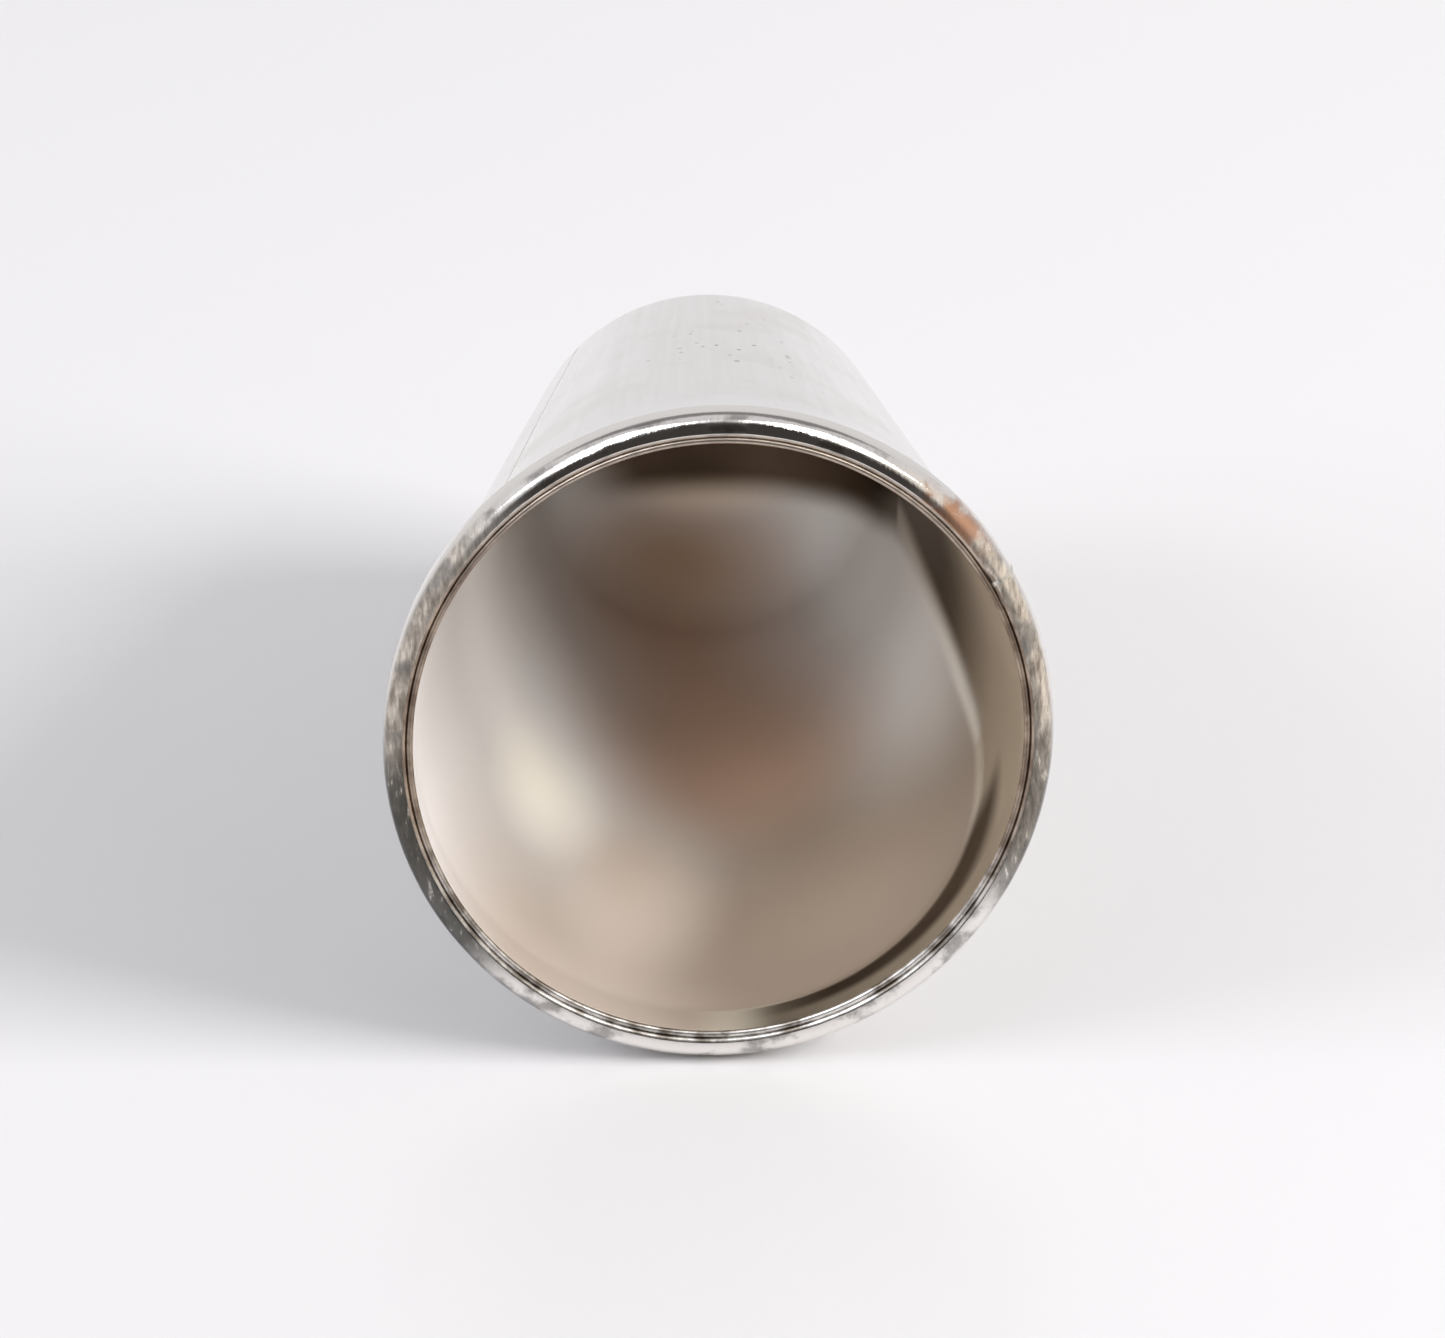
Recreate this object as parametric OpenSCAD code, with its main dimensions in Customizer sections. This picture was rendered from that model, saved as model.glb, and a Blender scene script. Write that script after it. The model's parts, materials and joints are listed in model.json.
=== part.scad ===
// Silversmith's thimble, lying on its side with the finger opening towards -Y.
// Origin: middle of the footprint, on the surface that the thimble lies on. +Z is up.
// It is made of a rolled and seamed side wall, a domed crown, a rim ring of half-round wire,
// and the hard solder that joins them.

/* [Side wall] */
// Overall height of the thimble along its axis, from the rim's face to the top of the crown
height = 25.5; // [22:0.5:28]
// Thickness of the silver sheet
sheet_t = 0.32; // [0.28:0.02:0.5]
// Radius inside the finger opening
mouth_r = 8.1; // [7:0.1:9.5]
// Length of the straight band at the opening, before the taper starts
band_l = 1.6; // [1.5:0.1:2.5]
// Taper of the side wall, in degrees from the axis
taper = 8.8; // [7:0.2:9.4]
// How far the wall's edge stands back from the rim's face
edge_recess = 0.1; // [0.05:0.05:0.2]
// Width of the gap between the rolled edges, which solder fills
seam_gap = 0.1; // [0.06:0.02:0.2]
// Place of the seam round the wall, in degrees from +X, seen from the opening
seam_angle = 135; // [100:5:160]

/* [Crown] */
// Radius of the crown's dome
dome_r = 7; // [6.5:0.25:8]
// Radius of the shoulder between the dome and the side wall
shoulder_r = 2.8; // [2.4:0.1:3]
// Length of the lap joint between crown and wall
lap_l = 0.8; // [0.6:0.1:1.2]
// Radius of the punch that made the dimples
dimple_r = 0.35; // [0.25:0.05:0.4]
// Depth of each dimple
dimple_depth = 0.11; // [0.05:0.01:0.13]
// Distance between rings of dimples, along the dome
dimple_pitch = 0.75; // [0.7:0.05:0.9]
// Rings of dimples round the middle one
dimple_rings = 5; // [2:1:5]

/* [Rim ring] */
// Thickness of the ring in the radial direction
ring_t = 0.62; // [0.55:0.01:0.8]
// Width of the ring along the axis
ring_w = 1.2; // [1:0.05:1.4]
// Rounding of the ring's two outer edges
ring_outer_r = 0.3; // [0.2:0.02:0.34]
// Rounding of the ring's inner edge at the face
ring_inner_r = 0.12; // [0.06:0.02:0.16]
// Depth of the seat turned in the wall for the ring
seat_depth = 0.14; // [0.1:0.02:0.14]
// Place of the ring's butt joint, in degrees from +X, seen from the opening
ring_joint_angle = 31; // [0:1:60]
// Width of the gap at the ring's butt joint, which solder fills
ring_joint_gap = 0.12; // [0.06:0.02:0.2]

/* [Solder] */
// Leg of the solder fillet behind the rim ring
rim_fillet = 0.16; // [0.1:0.02:0.2]
// Width of the solder line inside the crown's lap joint
crown_fillet = 0.16; // [0.1:0.02:0.3]

/* [Hidden] */

$fn = 96;
arc_step = 5;
silver = [0.80, 0.79, 0.77];
pale_silver = [0.86, 0.85, 0.83];
solder_grey = [0.70, 0.69, 0.66];

band_r = mouth_r + sheet_t;
seat_r = band_r - seat_depth;
ring_r = seat_r + ring_t;
slab_reach = 2 * height;
slab_inner = mouth_r / 4;

// Across the wall and along it: offset p from the axis and run q, turned by the taper.
wall_p = band_r * cos(taper) + band_l * sin(taper);
function from_wall(p, q) = [p * cos(taper) - q * sin(taper), p * sin(taper) + q * cos(taper)];
function run_at_radius(p, r) = (p * cos(taper) - r) / sin(taper);

// The shoulder's centre touches the wall line and the dome.
dome_z = height - dome_r;
shoulder_p = wall_p - shoulder_r;
shoulder_q = dome_z * cos(taper) + sqrt(pow(dome_r - shoulder_r, 2) - pow(shoulder_p - dome_z * sin(taper), 2));
shoulder = from_wall(shoulder_p, shoulder_q);
shoulder_top_angle = atan2(shoulder[1] - dome_z, shoulder[0]);
lap_q = shoulder_q - lap_l;

// The side line and the ring's rear rounding rest on the surface together.
ring_rest = [ring_r - ring_outer_r, ring_w - ring_outer_r];
rest_run = shoulder[1] - ring_rest[1];
rest_drop = ring_rest[0] - shoulder[0];
tilt = atan2(rest_drop, rest_run) + asin((ring_outer_r - shoulder_r) / norm([rest_run, rest_drop]));
axis_z = ring_rest[1] * sin(tilt) + ring_rest[0] * cos(tilt) + ring_outer_r;
front_y = ring_outer_r * cos(tilt) - ring_rest[0] * sin(tilt) - ring_outer_r;
back_y = dome_z * cos(tilt) + dome_r;
middle_y = (front_y + back_y) / 2;

function arc(centre, r, from, to) =
    let (steps = max(2, ceil(abs(to - from) / arc_step)))
    [for (i = [0:steps]) let (a = from + (to - from) * i / steps) centre + r * [cos(a), sin(a)]];

// Lays a shape drawn along +Z, opening at z = 0, down on its side.
module laid_down() {
    translate([0, -middle_y, axis_z])
        rotate([-90 - tilt, 0, 0])
            children();
}

// A thin radial slab at an angle seen from the opening, as wide as a joint's gap.
module joint_slab(angle, gap) {
    rotate([0, 0, -angle])
        translate([slab_inner, -gap / 2, -slab_reach / 2])
            cube([slab_reach, gap, slab_reach]);
}

// Outline of the wall: round edge, straight band with the ring's seat, taper, and half lap.
module wall_blank() {
    edge_r = (seat_r - mouth_r) / 2;
    edge = [mouth_r + edge_r, edge_recess + edge_r];
    inner_p = wall_p - sheet_t;
    lap_p = wall_p - sheet_t / 2;
    rotate_extrude()
        polygon(concat(
            arc(edge, edge_r, 180, 360),
            [[seat_r, ring_w], [band_r, ring_w], [band_r, band_l]],
            [from_wall(wall_p, shoulder_q), from_wall(lap_p, shoulder_q)],
            [from_wall(lap_p, lap_q), from_wall(inner_p, lap_q)],
            [from_wall(inner_p, run_at_radius(inner_p, mouth_r))]
        ));
}

module side_wall() {
    color(silver)
        laid_down()
            difference() {
                wall_blank();
                joint_slab(seam_angle, seam_gap);
            }
}

module side_seam_solder() {
    color(solder_grey)
        laid_down()
            intersection() {
                wall_blank();
                joint_slab(seam_angle, seam_gap);
            }
}

// One punched dimple on the dome, away from the axis by one angle and turned by another.
module dimple(away, turn) {
    rotate([0, away, turn])
        translate([0, 0, dome_r + dimple_r - dimple_depth])
            sphere(dimple_r, $fn = 24);
}

module dimple_pattern() {
    ring_angle = dimple_pitch / dome_r * 180 / PI;
    translate([0, 0, dome_z]) {
        dimple(0, 0);
        for (ring = [1:dimple_rings], i = [0:6 * ring - 1])
            dimple(ring * ring_angle, i * 60 / ring);
    }
}

module crown() {
    inner_p = wall_p - sheet_t;
    lap_p = wall_p - sheet_t / 2;
    spigot_q = lap_q + crown_fillet;
    color(pale_silver)
        laid_down()
            difference() {
                rotate_extrude()
                    polygon(concat(
                        [from_wall(inner_p, spigot_q), from_wall(lap_p, spigot_q), from_wall(lap_p, shoulder_q)],
                        arc(shoulder, shoulder_r, taper, shoulder_top_angle),
                        arc([0, dome_z], dome_r, shoulder_top_angle + arc_step / 2, 90),
                        arc([0, dome_z], dome_r - sheet_t, 90, shoulder_top_angle + arc_step / 2),
                        arc(shoulder, shoulder_r - sheet_t, shoulder_top_angle, taper)
                    ));
                dimple_pattern();
            }
}

module crown_solder() {
    inner_p = wall_p - sheet_t;
    lap_p = wall_p - sheet_t / 2;
    color(solder_grey)
        laid_down()
            rotate_extrude()
                polygon([
                    from_wall(inner_p, lap_q),
                    from_wall(lap_p, lap_q),
                    from_wall(lap_p, lap_q + crown_fillet),
                    from_wall(inner_p, lap_q + crown_fillet)
                ]);
}

// The ring's section: a worn flat on the face, round outer edges, and a flat back on the seat's step.
module ring_blank() {
    outer_c = ring_r - ring_outer_r;
    rotate_extrude()
        polygon(concat(
            [[seat_r, ring_w]],
            arc([seat_r + ring_inner_r, ring_inner_r], ring_inner_r, 180, 270),
            arc([outer_c, ring_outer_r], ring_outer_r, 270, 360),
            arc([outer_c, ring_w - ring_outer_r], ring_outer_r, 0, 90)
        ));
}

module rim_ring() {
    color(silver)
        laid_down()
            difference() {
                ring_blank();
                joint_slab(ring_joint_angle, ring_joint_gap);
            }
}

module rim_joint_solder() {
    color(solder_grey)
        laid_down()
            intersection() {
                ring_blank();
                joint_slab(ring_joint_angle, ring_joint_gap);
            }
}

// A hollow fillet in the corner between the ring's back and the wall.
module rim_solder() {
    color(solder_grey)
        laid_down()
            rotate_extrude()
                polygon(concat(
                    [[band_r, ring_w]],
                    arc([band_r + rim_fillet, ring_w + rim_fillet], rim_fillet, 270, 180)
                ));
}

side_wall();
side_seam_solder();
crown();
crown_solder();
rim_ring();
rim_joint_solder();
rim_solder();
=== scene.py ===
import json
import math
import bpy
from mathutils import Matrix, Vector, noise


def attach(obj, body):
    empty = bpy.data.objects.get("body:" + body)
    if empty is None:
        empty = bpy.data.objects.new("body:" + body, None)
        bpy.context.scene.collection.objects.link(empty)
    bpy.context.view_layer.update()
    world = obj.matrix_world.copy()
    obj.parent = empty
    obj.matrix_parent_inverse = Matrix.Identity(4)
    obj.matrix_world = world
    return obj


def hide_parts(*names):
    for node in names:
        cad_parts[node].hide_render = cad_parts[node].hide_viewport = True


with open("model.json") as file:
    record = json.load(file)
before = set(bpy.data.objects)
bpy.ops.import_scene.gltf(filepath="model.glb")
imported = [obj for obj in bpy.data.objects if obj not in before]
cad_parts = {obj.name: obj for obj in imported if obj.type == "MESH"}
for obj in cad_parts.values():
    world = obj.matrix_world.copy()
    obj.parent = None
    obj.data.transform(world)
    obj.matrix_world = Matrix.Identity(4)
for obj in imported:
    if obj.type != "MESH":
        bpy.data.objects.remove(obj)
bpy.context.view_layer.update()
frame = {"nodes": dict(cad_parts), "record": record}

MM = 0.001
TURN = 2 * math.pi

# ---------------------------------------------------------------- sizes from the frame

mounts = {m["name"]: m for m in frame["record"]["mounts"]}
OUT = Vector(mounts["finger_opening"]["axis"]).normalized()
IN = -OUT
RIGHT = Vector((1, 0, 0))
UP = RIGHT.cross(IN)
bore = Vector(mounts["finger_opening"]["pos_m"])
face = Vector(mounts["rim_face"]["pos_m"])
MOUTH = bore + OUT * (face - bore).dot(OUT)
MOUTH_R = mounts["finger_opening"]["dims"]["r_mm"] * MM


def reach(node, measure):
    """Largest value of a measure over a CAD node's vertices."""
    return max(measure(v.co) for v in frame["nodes"][node].data.vertices)


def radius_of(point):
    """Distance of a point from the thimble's axis."""
    offset = point - MOUTH
    return (offset - IN * offset.dot(IN)).length


def run_of(point):
    """How far a point lies behind the rim's face, along the axis."""
    return (point - MOUTH).dot(IN)


HEIGHT = reach("crown", run_of)
RIM_R = reach("rim_ring", radius_of)
RING_W = reach("rim_ring", run_of)
BAND_R = reach("side_wall", radius_of)
SEAT_R = -reach("rim_ring", lambda p: -radius_of(p))
FILLET = reach("rim_solder", run_of) - RING_W
SHEET = BAND_R - MOUTH_R

# ---------------------------------------------------------------- named dimensions

TAPER = math.radians(8.8)
BAND_L = 1.6 * MM
DOME_R = 7.0 * MM
SHOULDER_R = 2.8 * MM
LAP_L = 0.8 * MM
LAP_GAP = 0.16 * MM
EDGE_RECESS = 0.05 * MM
SEAM_ANGLE = math.radians(135)
SEAM_GAP = 0.1 * MM
JOINT_ANGLE = math.radians(31)
JOINT_GAP = 0.12 * MM

DIMPLE_R = 0.35 * MM
DIMPLE_DEPTH = 0.11 * MM
DIMPLE_PITCH = 0.75 * MM
DIMPLE_RINGS = 5

# The ring is half-round wire, worn a little flat on its face.
RING_T = RIM_R - SEAT_R
FACE_LEAN = math.radians(8)
FACE_R = 0.6 * MM
INNER_EDGE_R = 0.13 * MM
REAR_EDGE_R = 0.4 * MM
DENT_SPREAD = 0.7 * MM
DENT_DEPTH = 0.06 * MM

# How deep into the opening the wall's bare edge reaches.
EDGE_DEPTH = 0.18 * MM

# The rim is a little oval, and the wall gets rounder towards the crown.
OVAL = 0.148 * MM
OVAL_LOSS = 0.1 * MM
OVAL_TURN = math.radians(68)

WALL_P = BAND_R * math.cos(TAPER) + BAND_L * math.sin(TAPER)
INNER_P = WALL_P - SHEET
LAP_P = WALL_P - SHEET / 2


def from_wall(p, q):
    """Distance p across the wall and run q along it, as (radius, run along the axis)."""
    c, s = math.cos(TAPER), math.sin(TAPER)
    return (p * c - q * s, p * s + q * c)


DOME_Z = HEIGHT - DOME_R
shoulder_p = WALL_P - SHOULDER_R
SHOULDER_Q = DOME_Z * math.cos(TAPER) + math.sqrt(
    (DOME_R - SHOULDER_R) ** 2 - (shoulder_p - DOME_Z * math.sin(TAPER)) ** 2)
SHOULDER = from_wall(shoulder_p, SHOULDER_Q)
SHOULDER_TOP = math.atan2(SHOULDER[1] - DOME_Z, SHOULDER[0])
LAP_Q = SHOULDER_Q - LAP_L

# ---------------------------------------------------------------- mesh code


def place(r, u, turn):
    """A point at radius r and run u, turned counter-clockwise as seen from the opening."""
    swell = OVAL * math.cos(2 * (turn - OVAL_TURN)) - OVAL_LOSS
    r *= 1 + swell / RIM_R * max(0.0, 1 - u / HEIGHT)
    return MOUTH + IN * u + RIGHT * (r * math.cos(turn)) + UP * (r * math.sin(turn))


def arc(centre, radius, start, stop, steps):
    """Points from one angle to another round a centre, both ends included."""
    angles = [start + (stop - start) * i / steps for i in range(steps + 1)]
    return [(centre[0] + radius * math.cos(a), centre[1] + radius * math.sin(a)) for a in angles]


def line(a, b, steps):
    """Points from a up to, but not at, b."""
    return [(a[0] + (b[0] - a[0]) * i / steps, a[1] + (b[1] - a[1]) * i / steps) for i in range(steps)]


def smoothstep(low, high, value):
    """0 below low, 1 above high, smooth between."""
    t = min(1.0, max(0.0, (value - low) / (high - low)))
    return t * t * (3 - 2 * t)


SHARP_ANGLE = math.radians(30)


def make_piece(name, verts, faces, node, mats, choose=None):
    """A smooth-shaded piece that stands for one CAD node. choose gives a face's material by number."""
    mesh = bpy.data.meshes.new(name)
    mesh.from_pydata(verts, [], faces)
    mesh.validate()
    mesh.polygons.foreach_set("use_smooth", [True] * len(mesh.polygons))
    mesh.set_sharp_from_angle(angle=SHARP_ANGLE)
    for mat in mats:
        mesh.materials.append(mat)
    if choose:
        mesh.polygons.foreach_set("material_index", [choose(p) for p in mesh.polygons])
    piece = bpy.data.objects.new(name, mesh)
    bpy.context.scene.collection.objects.link(piece)
    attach(piece, "root")
    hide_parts(node)


def lathe(section, turns, closed_turn=True, start=0.0, sweep=TURN, wear=None):
    """Turns a closed section of (radius, run) points round the axis; an open turn gets flat ends."""
    count = turns if closed_turn else turns + 1
    verts, faces = [], []
    n = len(section)
    for i in range(count):
        turn = start + sweep * i / turns
        for r, u in section:
            dr, du = wear(r, u, turn) if wear else (0.0, 0.0)
            verts.append(place(r + dr, u + du, turn))
    for i in range(turns):
        a, b = i * n, ((i + 1) % count) * n
        for j in range(n):
            k = (j + 1) % n
            faces.append((a + j, a + k, b + k, b + j))
    if not closed_turn:
        faces.append(tuple(range(n))[::-1])
        faces.append(tuple(range((count - 1) * n, count * n)))
    return verts, faces


def surface_kind(polygon):
    """0 for the outside, 1 for the finger's side, and 2 for the wall's bare edge in the opening."""
    offset = polygon.center - MOUTH
    u = offset.dot(IN)
    radial = offset - IN * u
    if u > DOME_Z and radial.length < DOME_R:
        outward = polygon.center - (MOUTH + IN * DOME_Z)
    else:
        outward = radial
    if u < EDGE_DEPTH:
        return 2
    return int(polygon.normal.dot(outward) < 0)


def wall_section():
    """Outline of the rolled wall: round edge, the ring's seat, straight band, taper and half lap."""
    edge_r = (SEAT_R - MOUTH_R) / 2
    inner_bend = (INNER_P * math.cos(TAPER) - MOUTH_R) / math.sin(TAPER)
    bend = from_wall(INNER_P, inner_bend)
    points = arc((MOUTH_R + edge_r, EDGE_RECESS + edge_r), edge_r, math.pi, TURN, 12)
    points += line((SEAT_R, RING_W / 2), (SEAT_R, RING_W), 4)
    points += [(SEAT_R, RING_W)]
    points += line((BAND_R, RING_W), (BAND_R, BAND_L), 4)
    points += line((BAND_R, BAND_L), from_wall(WALL_P, SHOULDER_Q), 90)
    points += [from_wall(WALL_P, SHOULDER_Q), from_wall(LAP_P, SHOULDER_Q)]
    points += [from_wall(LAP_P, LAP_Q)]
    points += line(from_wall(INNER_P, LAP_Q), bend, 90)
    points += line(bend, (MOUTH_R, EDGE_RECESS + edge_r), 6)
    return points


def ring_section():
    """Half-round wire, worn a little flat on the face, with a small inner edge."""
    flat_start = SEAT_R + INNER_EDGE_R
    points = arc((flat_start, INNER_EDGE_R), INNER_EDGE_R, math.pi, 1.5 * math.pi, 8)
    face_arc = arc((flat_start, FACE_R), FACE_R, 1.5 * math.pi, 1.5 * math.pi + FACE_LEAN, 14)
    points += face_arc[1:]
    end_r, end_u = face_arc[-1]
    outer_r = (RIM_R - end_r) / (1 - math.sin(FACE_LEAN))
    centre = (RIM_R - outer_r, end_u + outer_r * math.cos(FACE_LEAN))
    points += arc(centre, outer_r, 1.5 * math.pi + FACE_LEAN, TURN, 14)[1:]
    rear = (RIM_R - REAR_EDGE_R, RING_W - REAR_EDGE_R)
    points += arc(rear, REAR_EDGE_R, 0, 0.5 * math.pi, 12)
    points += line((RIM_R - REAR_EDGE_R, RING_W), (SEAT_R, RING_W), 4)[1:]
    points += line((SEAT_R, RING_W), (SEAT_R, INNER_EDGE_R), 4)
    return points


def ring_kind(polygon):
    """1 for the ring's inner edge, 0 for the rest."""
    offset = polygon.center - MOUTH
    radial = (offset - IN * offset.dot(IN)).normalized()
    return int(polygon.normal.dot(radial) < -0.25)


def ring_wear(r, u, turn):
    """Small waves along the ring, and a dent in its inner edge beside the butt joint."""
    if r < SEAT_R + 0.02 * MM or u > RING_W - 0.1 * MM:
        return (0.0, 0.0)
    at = Vector((math.cos(turn), math.sin(turn), 0)) * RIM_R
    across = (r - SEAT_R) / RING_T
    slow = noise.noise(at / (1.7 * MM) + Vector((0, 0, across * 0.5)))
    quick = noise.noise(at / (0.55 * MM) + Vector((7, 0, across * 1.2 + u / (0.8 * MM))))
    swell = 0.02 * MM * slow + 0.008 * MM * quick
    along = (turn - JOINT_ANGLE - 0.02) * RIM_R / DENT_SPREAD
    dent = DENT_DEPTH * math.exp(-(along * 2.2) ** 2) * (1 - smoothstep(0.0, 0.45, across))
    front = 1 - smoothstep(0.3 * MM, 0.9 * MM, u)
    inward = abs(swell) * 0.8 * (1 - front) + 0.004 * MM * front
    backward = ((abs(swell) + swell) * 0.6 + dent) * front
    return (-inward, backward)


def wall_wear(r, u, turn):
    """Long shallow waves in the outside of the sheet, none where it meets other pieces."""
    near_front = smoothstep(BAND_L, 4 * MM, u)
    near_back = 1 - smoothstep(SHOULDER[1] - 4 * MM, SHOULDER[1] - LAP_L, u)
    at = Vector((math.cos(turn) * 3, math.sin(turn) * 3, u / (9 * MM)))
    return (0.018 * MM * noise.noise(at) * near_front * near_back, 0.0)


def way_from_top(away, turn):
    """Unit direction from the dome's centre, away from the axis by one angle and turned by another."""
    return Vector((math.sin(away) * math.cos(turn), math.sin(away) * math.sin(turn), math.cos(away)))


def dimple_centres():
    """Directions from the dome's centre to each dimple, the middle one first, then ring by ring."""
    directions = [way_from_top(0, 0)]
    step = DIMPLE_PITCH / DOME_R
    for ring in range(1, DIMPLE_RINGS + 1):
        for i in range(6 * ring):
            directions.append(way_from_top(step * ring, TURN * i / (6 * ring)))
    return directions


DIMPLES = dimple_centres()


def dome_radius(away, turn):
    """Distance of the dome's outside from its centre, less in a dimple."""
    ring = round(away * DOME_R / DIMPLE_PITCH)
    if ring > DIMPLE_RINGS:
        return DOME_R
    first = 1 + 3 * ring * (ring - 1) if ring else 0
    count = max(1, 6 * ring)
    best = DIMPLES[first + round(turn / TURN * count) % count]
    punch = DOME_R + DIMPLE_R - DIMPLE_DEPTH
    along = punch * way_from_top(away, turn).dot(best)
    left = DIMPLE_R ** 2 - punch ** 2 + along ** 2
    if left <= 0:
        return DOME_R
    return min(DOME_R, along - math.sqrt(left))


def crown_mesh(turns, dome_steps):
    """The crown's shell: spigot, shoulder, dimpled dome, and the plain inside."""
    spigot = LAP_Q + LAP_GAP
    open_part = line(from_wall(INNER_P, spigot), from_wall(LAP_P, spigot), 2)
    open_part += line(from_wall(LAP_P, spigot), from_wall(LAP_P, SHOULDER_Q), 4)
    open_part += line(from_wall(LAP_P, SHOULDER_Q), from_wall(WALL_P, SHOULDER_Q), 2)
    open_part += arc(SHOULDER, SHOULDER_R, TAPER, SHOULDER_TOP, 24)
    edge = math.pi / 2 - SHOULDER_TOP
    inner = arc((0, DOME_Z), DOME_R - SHEET, math.pi / 2, SHOULDER_TOP, 40)[1:]
    inner += arc(SHOULDER, SHOULDER_R - SHEET, SHOULDER_TOP, TAPER, 24)[1:]
    inner += line(from_wall(INNER_P, SHOULDER_Q), from_wall(INNER_P, spigot), 6)[1:]
    rings = [("plain", p) for p in open_part]
    rings += [("dome", edge * (1 - i / dome_steps)) for i in range(1, dome_steps)]
    rings += [("plain", p) for p in inner]
    verts, faces = [], []
    for kind, value in rings:
        for i in range(turns):
            turn = TURN * i / turns
            if kind == "plain":
                r, u = value
            else:
                d = dome_radius(value, turn)
                r, u = d * math.sin(value), DOME_Z + d * math.cos(value)
            verts.append(place(r, u, turn))
    outer_last = len(open_part) + dome_steps - 2
    for j in range(len(rings)):
        k = (j + 1) % len(rings)
        if j == outer_last:
            continue
        for i in range(turns):
            n = (i + 1) % turns
            faces.append((j * turns + i, k * turns + i, k * turns + n, j * turns + n))
    outer_pole = (outer_last, HEIGHT - DIMPLE_DEPTH, False)
    inner_pole = (outer_last + 1, HEIGHT - SHEET, True)
    for ring, run, flip in (outer_pole, inner_pole):
        verts.append(place(0, run, 0))
        pole = len(verts) - 1
        for i in range(turns):
            a, b = ring * turns + i, ring * turns + (i + 1) % turns
            faces.append((a, b, pole) if flip else (b, a, pole))
    return verts, faces


# ---------------------------------------------------------------- materials


class Graph:
    """Adds shader nodes and links them in one call each."""

    def __init__(self, tree):
        self.tree = tree

    def add(self, kind, inputs=None, **settings):
        made = self.tree.nodes.new("ShaderNode" + kind)
        for key, value in settings.items():
            setattr(made, key, value)
        for key, value in (inputs or {}).items():
            if isinstance(value, bpy.types.NodeSocket):
                self.tree.links.new(value, made.inputs[key])
            else:
                made.inputs[key].default_value = value
        return made

    def math(self, operation, a, b=0.0):
        return self.add("Math", {0: a, 1: b}, operation=operation).outputs[0]

    def vector(self, operation, a, b=(0, 0, 0)):
        return self.add("VectorMath", {0: a, 1: b}, operation=operation).outputs[0]

    def fade(self, value, low, high):
        """0 below low, 1 above high, smooth between; swapped limits turn it round."""
        made = self.add("MapRange", {"Value": value}, interpolation_type="SMOOTHSTEP")
        made.inputs["From Min"].default_value = min(low, high)
        made.inputs["From Max"].default_value = max(low, high)
        made.inputs["To Min"].default_value = 0.0 if low < high else 1.0
        made.inputs["To Max"].default_value = 1.0 if low < high else 0.0
        return made.outputs["Result"]

    def mix(self, factor, a, b):
        """Colour a where factor is 0, colour b where it is 1."""
        made = self.add("Mix", data_type="RGBA")
        for index, value in ((0, factor), (6, a), (7, b)):
            if isinstance(value, bpy.types.NodeSocket):
                self.tree.links.new(value, made.inputs[index])
            elif index:
                made.inputs[index].default_value = (*value, 1)
            else:
                made.inputs[index].default_value = value
        return made.outputs[2]

    def noise(self, vector, scale, detail=3.0, rough=0.5):
        inputs = {"Vector": vector, "Scale": scale, "Detail": detail, "Roughness": rough}
        return self.add("TexNoise", inputs).outputs["Fac"]


BUMP_DEPTH = 0.02 * MM
LOCAL_AXES = Matrix((RIGHT, UP, OUT))
LOCAL_MOVE = -(LOCAL_AXES @ MOUTH) / MM


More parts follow.
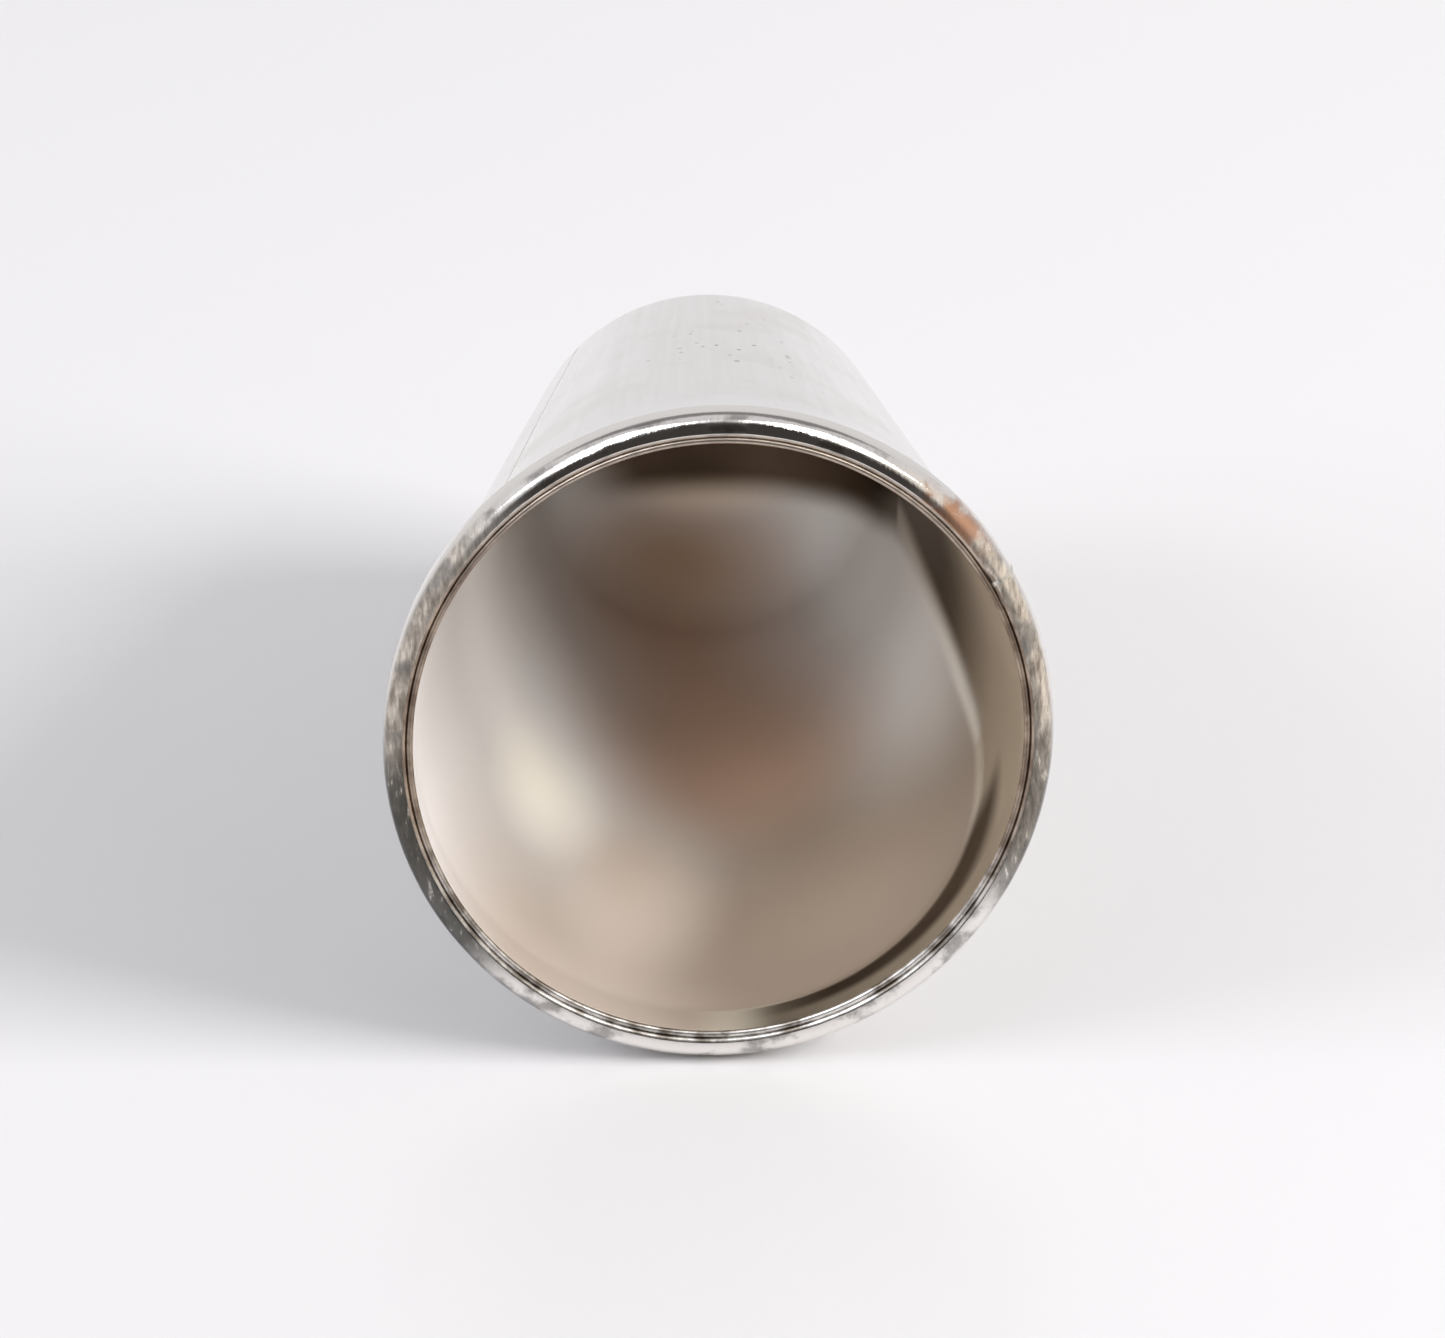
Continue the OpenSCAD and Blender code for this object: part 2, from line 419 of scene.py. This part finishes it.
class Metal(Graph):
    """A metal with the thimble's own coordinates in millimetres: across, up and out of the opening."""

    def __init__(self, name):
        self.material = bpy.data.materials.new(name)
        self.material.use_nodes = True
        super().__init__(self.material.node_tree)
        self.shader = self.tree.nodes["Principled BSDF"]
        self.shader.inputs["Metallic"].default_value = 1.0
        source = self.add("TexCoord").outputs["Object"]
        placing = {"Location": LOCAL_MOVE, "Rotation": LOCAL_AXES.to_euler(), "Scale": (1 / MM,) * 3}
        self.local = self.add("Mapping", {"Vector": source, **placing}).outputs["Vector"]
        split = self.add("SeparateXYZ", {0: self.local})
        self.x, self.y, out = split.outputs
        self.run = self.math("MULTIPLY", out, -1.0)
        flat = self.vector("MULTIPLY", self.local, (1, 1, 0))
        self.way = self.vector("NORMALIZE", flat)

    def stretched(self, around, along):
        """Coordinates for marks along the wall; around and along are repeats per millimetre."""
        spread = self.vector("MULTIPLY", self.way, (around * RIM_R / MM,) * 2 + (0,))
        lengthwise = self.add("CombineXYZ", {2: self.math("MULTIPLY", self.run, along)}).outputs[0]
        return self.vector("ADD", spread, lengthwise)

    def spot(self, at, size, soft=1.0):
        """1 near a local point, falling to 0 at size millimetres; size may differ by axis."""
        offset = self.vector("SUBTRACT", self.local, at)
        scaled = self.vector("DIVIDE", offset, size)
        distance = self.add("VectorMath", {0: scaled}, operation="LENGTH").outputs["Value"]
        return self.fade(distance, 1.0, 1.0 - soft)

    def streak(self, start, end, size):
        """1 along the line between two local points, falling to 0 at size millimetres from it."""
        start, end = Vector(start), Vector(end)
        offset = self.vector("SUBTRACT", self.local, start)
        span = end - start
        along = self.add("VectorMath", {0: offset, 1: span / span.length_squared}, operation="DOT_PRODUCT")
        clamped = self.add("Clamp", {"Value": along.outputs["Value"]}).outputs[0]
        foot = self.add("VectorMath", {0: span, "Scale": clamped}, operation="SCALE").outputs["Vector"]
        beside = self.vector("SUBTRACT", offset, foot)
        distance = self.add("VectorMath", {0: beside}, operation="LENGTH").outputs["Value"]
        return self.fade(distance, size, 0.0)

    def stain(self, colour, mask, stained, strength=1.0):
        """The colour with a stained colour over it where the mask is 1, at a given strength."""
        if strength < 1:
            mask = self.math("MULTIPLY", mask, strength)
        return self.mix(mask, colour, stained)

    def set(self, colour, roughness, height, strength, metallic=None):
        """Links the shader and gives back the material; height is a bump of BUMP_DEPTH at strength 1."""
        bump = self.add("Bump", {"Strength": strength, "Distance": BUMP_DEPTH, "Height": height})
        wanted = {"Base Color": colour, "Roughness": roughness, "Normal": bump.outputs["Normal"]}
        if metallic is not None:
            wanted["Metallic"] = metallic
        for socket, value in wanted.items():
            self.tree.links.new(value, self.shader.inputs[socket])
        return self.material


def polar(radius, turn, run):
    """A local point in millimetres from radius, turn in degrees and run."""
    return (radius * math.cos(math.radians(turn)), radius * math.sin(math.radians(turn)), -run)


SILVER = (0.93, 0.915, 0.9)
BRUSHED_SILVER = (0.895, 0.88, 0.865)
# A silver painted near the rim as a sheen, lighter than the rest of the wall.
PAINTED_SHEEN_SILVER = (0.97, 0.965, 0.96)
DULL_SILVER = (0.8, 0.77, 0.73)
GREY_TARNISH = (0.2, 0.19, 0.18)


def outside_silver(name):
    """Bright silver with lengthwise scratches, faint dull clouds and small dark pits, and a painted sheen
    near the rim.
    """
    g = Metal(name)
    streaks = g.noise(g.stretched(3.5, 0.12), 1.0, 4.0, 0.6)
    cloud = g.noise(g.local, 0.35, 3.0)
    pit = pits(g)
    scratch = g.fade(g.noise(g.stretched(9.0, 0.05), 1.0, 2.0, 0.5), 0.66, 0.72)
    colour = g.mix(g.fade(streaks, 0.35, 0.75), SILVER, BRUSHED_SILVER)
    colour = g.stain(colour, g.fade(cloud, 0.5, 0.7), DULL_SILVER, 0.35)
    # Painted sheen: the wall is painted lighter within about 6 mm of the rim, most of all within 2.5 mm.
    colour = g.stain(colour, g.fade(g.run, 6, 2.5), PAINTED_SHEEN_SILVER)
    colour = g.stain(colour, pit, GREY_TARNISH, 0.95)
    rough = g.math("ADD", g.math("MULTIPLY", cloud, 0.16), g.math("MULTIPLY", streaks, 0.12))
    rough = g.math("ADD", rough, 0.08)
    height = g.math("SUBTRACT", g.math("MULTIPLY", streaks, 0.12), g.math("MULTIPLY", pit, 0.8))
    height = g.math("SUBTRACT", height, g.math("MULTIPLY", scratch, 0.15))
    return g.set(colour, rough, height, 0.35)


def pits(g):
    """1 in a pit: irregular and longer than wide, in loose patches and in a cluster on top of the wall."""
    flattened = g.vector("MULTIPLY", g.local, (1, 1, 0.5))
    distance = g.add("TexVoronoi", {"Vector": flattened, "Scale": 2.2}, feature="F1").outputs["Distance"]
    distance = g.math("ADD", distance, g.math("MULTIPLY", g.noise(g.local, 4.0, 2.0), 0.4))
    patch = g.fade(g.noise(g.local, 0.55, 2.0), 0.6, 0.75)
    cluster = g.spot(polar(6.6, 83, 13.5), (2.6, 3.0, 6.5), 0.8)
    return g.math("MULTIPLY", g.fade(distance, 0.4, 0.26), g.math("MAXIMUM", patch, cluster))


RUBBED_CLEAN = (0.84, 0.82, 0.805)
RUBBED_WARM = (0.8, 0.77, 0.745)
# The next two colours are painted reflections inside the opening.
CREAM_REFLECTION = (1.0, 0.95, 0.85)
PALE_REFLECTION = (1.0, 0.98, 0.96)
PALE_STREAK = (0.95, 0.92, 0.85)


def inside_silver(name):
    """The finger's side: satin worn by rubbing, with brown and olive that are partly tarnish and partly
    painted reflections, and a paler streak.
    """
    g = Metal(name)
    cloud = g.noise(g.local, 0.16, 3.0)
    colour = g.mix(g.fade(cloud, 0.3, 0.7), RUBBED_CLEAN, RUBBED_WARM)
    colour = brown_tarnish_and_reflections(g, colour)
    colour, olive = olive_tarnish_and_reflections(g, colour)
    # A paler streak along the right wall, from deep inside to near the mouth.
    pale_streak = g.streak(polar(5.3, -3, 19), polar(7.4, -14, 6), 0.7)
    colour = g.stain(colour, pale_streak, PALE_STREAK, 0.7)
    metallic = g.math("ADD", 0.15, g.math("MULTIPLY", olive, 0.85))
    rough = g.math("ADD", g.math("MULTIPLY", cloud, 0.1), 0.36)
    height = g.noise(g.stretched(5, 0.6), 1.0, 3.0)
    return g.set(colour, rough, height, 0.1, metallic)


def brown_tarnish_and_reflections(g, colour):
    """Brown from the dome down to the mouth's lower right, duller towards the mouth, with two pale spots.
    The brown is partly tarnish and partly painted reflection; the pale spots are painted reflections.
    """
    left = g.math("MULTIPLY", g.fade(g.x, -3.0, -7.0), g.fade(g.run, 14, 3))
    low = g.math("MULTIPLY", g.fade(g.y, -2.0, -6.5), g.fade(g.run, 12, 3))
    low_right = g.math("MULTIPLY", g.fade(g.x, -3.5, 1.0), g.fade(g.run, 15, 5))
    # Partly tarnish and partly painted reflection of the dark room: the cavity is darker on the left, the
    # bottom and the lower right.
    colour = g.stain(colour, left, (0.55, 0.525, 0.51))
    colour = g.stain(colour, low, (0.36, 0.305, 0.26))
    colour = g.stain(colour, low_right, (0.235, 0.187, 0.148))
    towards_mouth = g.streak(polar(5.6, -84, 15.5), polar(7.0, -62, 6), 5.6)
    colour = g.stain(colour, towards_mouth, (0.33, 0.26, 0.205))
    below_dome = g.streak(polar(4.5, -101, 22), polar(5.8, -84, 14), 5.5)
    colour = g.stain(colour, below_dome, (0.6, 0.405, 0.3))
    colour = g.stain(colour, g.spot(polar(3.4, -104, 24), (4.9, 3.4, 4.0)), (0.42, 0.285, 0.2))
    colour = g.stain(colour, g.spot(polar(0.9, -90, 25.3), (5.4, 2.0, 1.2)), (1.0, 0.8, 0.62))
    colour = g.stain(colour, g.spot(polar(7.2, -108, 8), (3.2, 2.5, 7)), (0.56, 0.47, 0.4))
    # Painted reflections: a cream spot on the lower left near the mouth and a pale spot deep on the right.
    colour = g.stain(colour, g.spot(polar(6.8, -134, 10), (2.6, 2.6, 4.5)), CREAM_REFLECTION)
    return g.stain(colour, g.spot(polar(4.9, -30, 21.5), (2.8, 2.8, 4.5)), PALE_REFLECTION)


# The olive band, partly tarnish and partly painted reflection, ends at a height below the axis that is this
# number, in square millimetres, over the run.
OLIVE_SPREAD = 12.0


def olive_tarnish_and_reflections(g, colour):
    """Olive along the top and the right, partly tarnish and partly painted reflection of the dark room, with
    a brown line near its lower end. Also gives its mask.
    """
    border = g.math("ADD", g.y, g.math("DIVIDE", OLIVE_SPREAD, g.math("MAXIMUM", g.run, 0.8)))
    border = g.math("ADD", border, g.math("MULTIPLY", g.fade(g.run, 18, 23), 0.9))
    right_half = g.fade(g.math("ADD", g.x, g.math("MULTIPLY", g.y, 0.5)), -5.0, -2.2)
    mask = g.math("MULTIPLY", g.fade(border, -0.5, 0.5), right_half)
    olive = g.mix(g.fade(g.run, 5, 13), (0.85, 0.78, 0.64), (0.12, 0.09, 0.055))
    olive = g.mix(g.fade(g.run, 21, 24), olive, (0.17, 0.125, 0.095))
    colour = g.stain(colour, mask, olive)
    share = g.math("MULTIPLY", g.math("MULTIPLY", g.y, g.run), 1 / OLIVE_SPREAD)
    line_mark = g.fade(g.math("ABSOLUTE", g.math("ADD", share, 0.8)), 0.42, 0.1)
    line_mark = g.math("MULTIPLY", line_mark, g.fade(g.run, 4.0, 2.8))
    line_mark = g.math("MULTIPLY", line_mark, g.fade(g.x, 0.5, 3.0))
    return g.stain(colour, line_mark, (0.16, 0.115, 0.08)), mask


RING_SILVER = (0.86, 0.83, 0.8)
# Beige painted on the ring's sides as a reflection of the room.
BEIGE_LOW = (0.24, 0.2, 0.165)
BEIGE_HIGH = (0.7, 0.63, 0.54)
DARK_PATCH = (0.05, 0.048, 0.042)
RED_REFLECTION = (0.5, 0.25, 0.14)


def ring_silver(name):
    """Polished wire, worn at both sides and painted beige there as a reflection of the room, with brush
    marks, dark patches and one painted reddish-brown reflection.
    """
    g = Metal(name)
    slanted = {"Rotation": (0, 0, math.radians(35)), "Scale": (7, 1.6, 2.2)}
    slant = g.add("Mapping", {"Vector": g.local, **slanted}).outputs["Vector"]
    brush = g.noise(slant, 1.0, 4.0, 0.65)
    blotch = g.noise(g.local, 0.9, 4.0, 0.6)
    way_x, way_y, _ = g.add("SeparateXYZ", {0: g.way}).outputs
    side = g.fade(g.math("ABSOLUTE", way_x), 0.55, 0.85)
    face_only = g.fade(g.run, 0.34, 0.16)
    worn = g.math("MULTIPLY", g.math("MULTIPLY", side, g.fade(way_y, -0.6, -0.3)), face_only)
    # Painted reflection: the worn sides are painted beige, standing in for the room they mirror; the same
    # mask also gives the real wear its roughness and less metal.
    beige = g.mix(g.fade(brush, 0.3, 0.7), BEIGE_LOW, BEIGE_HIGH)
    colour = g.mix(worn, RING_SILVER, beige)
    grey = g.math("MULTIPLY", g.fade(blotch, 0.48, 0.64), face_only)
    colour = g.stain(colour, grey, GREY_TARNISH, 0.7)
    # Near-black patches on the ring's face, at the lower left and at the right.
    dark_left = g.spot(polar(8.6, 204, 0), (4.2, 4.4, 1.8), 0.5)
    dark_right = g.math("MULTIPLY", g.spot(polar(8.6, -17, 0), (1.8, 4, 1.8), 0.6), 0.7)
    dark = g.math("MULTIPLY", g.math("MAXIMUM", dark_left, dark_right), g.fade(brush, 0.76, 0.56))
    colour = g.stain(colour, dark, DARK_PATCH, 0.9)
    # A painted reddish reflection of a warm thing in front, on the ring's upper right.
    red = g.math("MULTIPLY", g.spot(polar(8.6, 46, 0.1), (1.9, 1.9, 1.0), 0.8), g.fade(blotch, 0.42, 0.6))
    colour = g.stain(colour, red, RED_REFLECTION, 0.8)
    rough = g.math("ADD", 0.05, g.math("MULTIPLY", worn, 0.22))
    rough = g.math("ADD", rough, g.math("MULTIPLY", g.fade(blotch, 0.4, 0.6), 0.12))
    height = g.math("ADD", g.math("MULTIPLY", brush, 0.5), g.math("MULTIPLY", blotch, 0.3))
    metallic = g.math("SUBTRACT", 1.0, g.math("MULTIPLY", worn, 0.3))
    return g.set(colour, rough, height, 0.55, metallic)


def solder_silver(name):
    """Dull, slightly yellow solder with a fine grain."""
    g = Metal(name)
    grain = g.noise(g.local, 3.0, 4.0, 0.6)
    colour = g.mix(g.fade(grain, 0.35, 0.7), (0.82, 0.79, 0.72), (0.6, 0.57, 0.5))
    return g.set(colour, g.math("ADD", 0.25, g.math("MULTIPLY", grain, 0.2)), grain, 0.3)


def floor_paint(name):
    """A pale, half-shiny table top."""
    mat = bpy.data.materials.new(name)
    mat.use_nodes = True
    g = Graph(mat.node_tree)
    shader = g.tree.nodes["Principled BSDF"]
    where = g.add("TexCoord").outputs["Object"]
    cloud = g.noise(where, 14.0, 2.0)
    g.tree.links.new(g.mix(cloud, (0.78, 0.775, 0.785), (0.8, 0.795, 0.8)), shader.inputs["Base Color"])
    g.tree.links.new(g.math("ADD", 0.24, g.math("MULTIPLY", cloud, 0.04)), shader.inputs["Roughness"])
    return mat


def edge_silver(name):
    """The wall's bare edge and the ring's inner edge: brown above, partly tarnish and partly painted shade
    under the rim, and a broken painted highlight below.
    """
    g = Metal(name)
    grain = g.noise(g.local, 1.3, 4.0, 0.6)
    # Above: brown, partly tarnish and partly painted shade under the rim, a little lighter at the very top.
    brown = g.mix(g.fade(grain, 0.35, 0.65), (0.5, 0.41, 0.33), (0.24, 0.18, 0.14))
    brown = g.stain(brown, g.fade(g.y, 3.5, 6.5), (0.75, 0.7, 0.64), 0.3)
    # Below: a broken painted highlight, standing in for light the edge catches from above.
    painted_highlight = g.mix(g.fade(grain, 0.38, 0.66), (0.84, 0.82, 0.79), (0.22, 0.19, 0.16))
    colour = g.mix(g.fade(g.y, -5.5, -1.5), painted_highlight, brown)
    return g.set(colour, g.math("ADD", 0.25, g.math("MULTIPLY", grain, 0.2)), grain, 0.3)


# The order is the one that surface_kind counts in.
WALL_MATS = [outside_silver("wall_outside"), inside_silver("inside"), edge_silver("wall_edge")]
RING_MAT = ring_silver("ring_face")
SOLDER_MAT = solder_silver("solder")

# ---------------------------------------------------------------- pieces

# Steps round the axis, in the narrow strips of solder, and along the dome.
WALL_TURNS, CROWN_TURNS, RING_TURNS, LINE_TURNS = 720, 640, 900, 360
SEAM_STEPS, JOINT_STEPS, DOME_STEPS, FILLET_STEPS = 4, 6, 130, 8

SOLDER_MATS = [SOLDER_MAT] + WALL_MATS[1:]
seam_half = SEAM_GAP / 2 / BAND_R
joint_half = JOINT_GAP / 2 / RIM_R

wall = wall_section()
verts, faces = lathe(wall, WALL_TURNS, False, SEAM_ANGLE + seam_half, TURN - 2 * seam_half, wall_wear)
make_piece("wall_sheet", verts, faces, "side_wall", WALL_MATS, surface_kind)

verts, faces = lathe(wall, SEAM_STEPS, False, SEAM_ANGLE - seam_half, 2 * seam_half, wall_wear)
make_piece("seam_solder", verts, faces, "side_seam_solder", SOLDER_MATS, surface_kind)

verts, faces = crown_mesh(CROWN_TURNS, DOME_STEPS)
make_piece("crown_cap", verts, faces, "crown", WALL_MATS[:2], surface_kind)

lap_end = LAP_Q + LAP_GAP
lap_section = [from_wall(INNER_P, LAP_Q), from_wall(LAP_P, LAP_Q)]
lap_section += [from_wall(LAP_P, lap_end), from_wall(INNER_P, lap_end)]
verts, faces = lathe(lap_section, LINE_TURNS)
make_piece("lap_solder", verts, faces, "crown_solder", SOLDER_MATS, surface_kind)

ring = ring_section()
verts, faces = lathe(ring, RING_TURNS, False, JOINT_ANGLE + joint_half, TURN - 2 * joint_half, ring_wear)
make_piece("ring_wire", verts, faces, "rim_ring", [RING_MAT, WALL_MATS[2]], ring_kind)

verts, faces = lathe(ring, JOINT_STEPS, False, JOINT_ANGLE - joint_half, 2 * joint_half, ring_wear)
make_piece("joint_solder", verts, faces, "rim_joint_solder", [SOLDER_MAT])

fillet_centre = (BAND_R + FILLET, RING_W + FILLET)
fillet_section = [(BAND_R, RING_W)]
fillet_section += arc(fillet_centre, FILLET, 1.5 * math.pi, math.pi, FILLET_STEPS)
verts, faces = lathe(fillet_section, LINE_TURNS)
make_piece("ring_solder", verts, faces, "rim_solder", [SOLDER_MAT])

# ---------------------------------------------------------------- floor

FLOOR_NEAR, FLOOR_FAR = 60 * MM, 1200 * MM
FLOOR_MAT = floor_paint("pale_floor")


def circle(radius, steps):
    """Corners of a level circle on the floor."""
    turns = [TURN * i / steps for i in range(steps)]
    return [(radius * math.cos(t), radius * math.sin(t), 0) for t in turns]


def disc(name, inner, outer, steps=128):
    """A flat ring, or a disc when inner is 0."""
    verts = circle(outer, steps)
    if inner:
        verts += circle(inner, steps)
        faces = [(i, (i + 1) % steps, (i + 1) % steps + steps, i + steps) for i in range(steps)]
    else:
        faces = [tuple(range(steps))]
    mesh = bpy.data.meshes.new(name)
    mesh.from_pydata(verts, [], faces)
    made = bpy.data.objects.new(name, mesh)
    bpy.context.scene.collection.objects.link(made)
    mesh.materials.append(FLOOR_MAT)
    return made


# The metal doesn't mirror the far floor; it mirrors the room there instead.
disc("floor_near", 0, FLOOR_NEAR)
far = disc("floor_far", FLOOR_NEAR, FLOOR_FAR)
far.visible_glossy = False

# ---------------------------------------------------------------- camera

# The lens as fitted to the photograph: focal length in its pixels, its width, and the film's in millimetres.
LENS_PX, IMAGE_W, SENSOR = 8000, 1445, 36
ELEVATION, AZIMUTH = math.radians(29.59), math.radians(0.83)
DISTANCE = 206.0 * MM
target = Vector((0.106, -11.8, 11.079)) * MM
flat_part = math.cos(ELEVATION)
forward = Vector((math.sin(AZIMUTH) * flat_part, math.cos(AZIMUTH) * flat_part, -math.sin(ELEVATION)))
data = bpy.data.cameras.new("camera")
data.sensor_width = SENSOR
data.lens = SENSOR * LENS_PX / IMAGE_W
data.clip_start = 0.01
camera = bpy.data.objects.new("camera", data)
bpy.context.scene.collection.objects.link(camera)
camera.location = target - forward * DISTANCE
camera.rotation_euler = forward.to_track_quat("-Z", "Y").to_euler()
bpy.context.scene.camera = camera

# ---------------------------------------------------------------- light

# The room that the metal mirrors, by part.
CEILING = (0.69, 0.68, 0.695)
LEFT_ROOM = (0.8, 0.8, 0.84)
RIGHT_ROOM = (0.85, 0.8, 0.74)
BACKDROP = (0.74, 0.73, 0.735)
BACK_HIGH = (0.25, 0.245, 0.25)
DARK = (0.05, 0.045, 0.042)


def studio_world():
    """A pale room with brighter sides, grey high up at the back, and dark where the photographer stands."""
    world = bpy.data.worlds.new("studio")
    bpy.context.scene.world = world
    world.use_nodes = True
    g = Graph(world.node_tree)
    split = g.add("SeparateXYZ", {0: g.add("TexCoord").outputs["Generated"]})
    x, y, z = split.outputs
    # From 0 at the front to half a turn at the back, the same on both sides.
    azimuth = g.math("ARCTAN2", g.math("ABSOLUTE", x), g.math("MULTIPLY", y, -1.0))
    behind = g.fade(azimuth, math.radians(85), math.radians(115))
    far_behind = g.fade(azimuth, math.radians(110), math.radians(130))
    in_front = g.fade(azimuth, math.radians(40), math.radians(20))
    room = g.mix(g.fade(x, -0.3, 0.3), LEFT_ROOM, RIGHT_ROOM)
    room = g.mix(behind, room, BACKDROP)
    room = g.mix(g.fade(z, 0.6, 0.8), room, CEILING)
    back_high = g.math("MULTIPLY", far_behind, g.fade(z, 0.6, 0.72))
    room = g.mix(g.math("MULTIPLY", back_high, g.fade(z, 0.97, 0.9)), room, BACK_HIGH)
    dark = g.math("MULTIPLY", in_front, g.fade(z, 0.9, 0.78))
    dark = g.math("MULTIPLY", dark, g.fade(z, -0.4, -0.15))
    room = g.mix(dark, room, DARK)
    background = g.tree.nodes["Background"]
    g.tree.links.new(room, background.inputs["Color"])
    background.inputs["Strength"].default_value = 1.0


LAMP_DISTANCE = 0.4
LIT_INSIDE = ["wall_sheet", "crown_cap", "lap_solder", "seam_solder"]
ALL_PIECES = LIT_INSIDE + ["ring_wire", "joint_solder", "ring_solder"]


def soft_box(name, azimuth, elevation, width, height, power, colour, only=None, mirrored=True):
    """An area light that looks at the thimble, of a size in metres and a power in watts.

    azimuth is in degrees from the front, towards +X. only names the pieces that it lights, where it
    doesn't light everything, and mirrored says whether metal shows its reflection.
    """
    a, e = math.radians(azimuth), math.radians(elevation)
    direction = Vector((math.sin(a) * math.cos(e), -math.cos(a) * math.cos(e), math.sin(e)))
    lamp = bpy.data.lights.new(name, "AREA")
    lamp.shape = "RECTANGLE"
    lamp.size, lamp.size_y = width, height
    lamp.energy = power
    lamp.color = colour
    made = bpy.data.objects.new(name, lamp)
    bpy.context.scene.collection.objects.link(made)
    made.location = Vector((0, 0, HEIGHT / 3)) + direction * LAMP_DISTANCE
    made.rotation_euler = direction.to_track_quat("Z", "Y").to_euler()
    made.visible_glossy = mirrored
    if only:
        lit = bpy.data.collections.new(name + "_pieces")
        for piece in only:
            lit.objects.link(bpy.data.objects[piece])
        made.light_linking.receiver_collection = lit


studio_world()

# Two lamps make the highlights on the ring and leave the floor alone.
soft_box("left_light", -40, 51, 0.17, 0.27, 0.55, (0.95, 0.97, 1.0), ALL_PIECES)
soft_box("right_light", 38, 53, 0.15, 0.25, 0.45, (1.0, 0.97, 0.94), ALL_PIECES)

# Two lamps from the sides make the shadows on the floor.
soft_box("key_light", 76, 27, 0.2, 0.2, 1.75, (1.0, 0.985, 0.985), mirrored=False)
soft_box("fill_light", -78, 27, 0.2, 0.2, 0.6, (0.92, 0.95, 1.0), mirrored=False)

# Three lamps light only the pieces that the finger's side is made of.
soft_box("inside_light", -10, 10, 0.8, 0.8, 3.15, (1.0, 0.99, 0.97), LIT_INSIDE, False)
soft_box("inside_side_light", 42, 22, 0.12, 0.12, 0.9, (1.0, 0.985, 0.97), LIT_INSIDE, False)
soft_box("inside_left_light", -22, 20, 0.2, 0.2, 0.45, (0.97, 0.98, 1.0), LIT_INSIDE, False)

# ---------------------------------------------------------------- output

scene = bpy.context.scene
scene.view_settings.view_transform = "Standard"
scene.cycles.max_bounces = 32
scene.cycles.glossy_bounces = 32

bpy.context.view_layer.update()
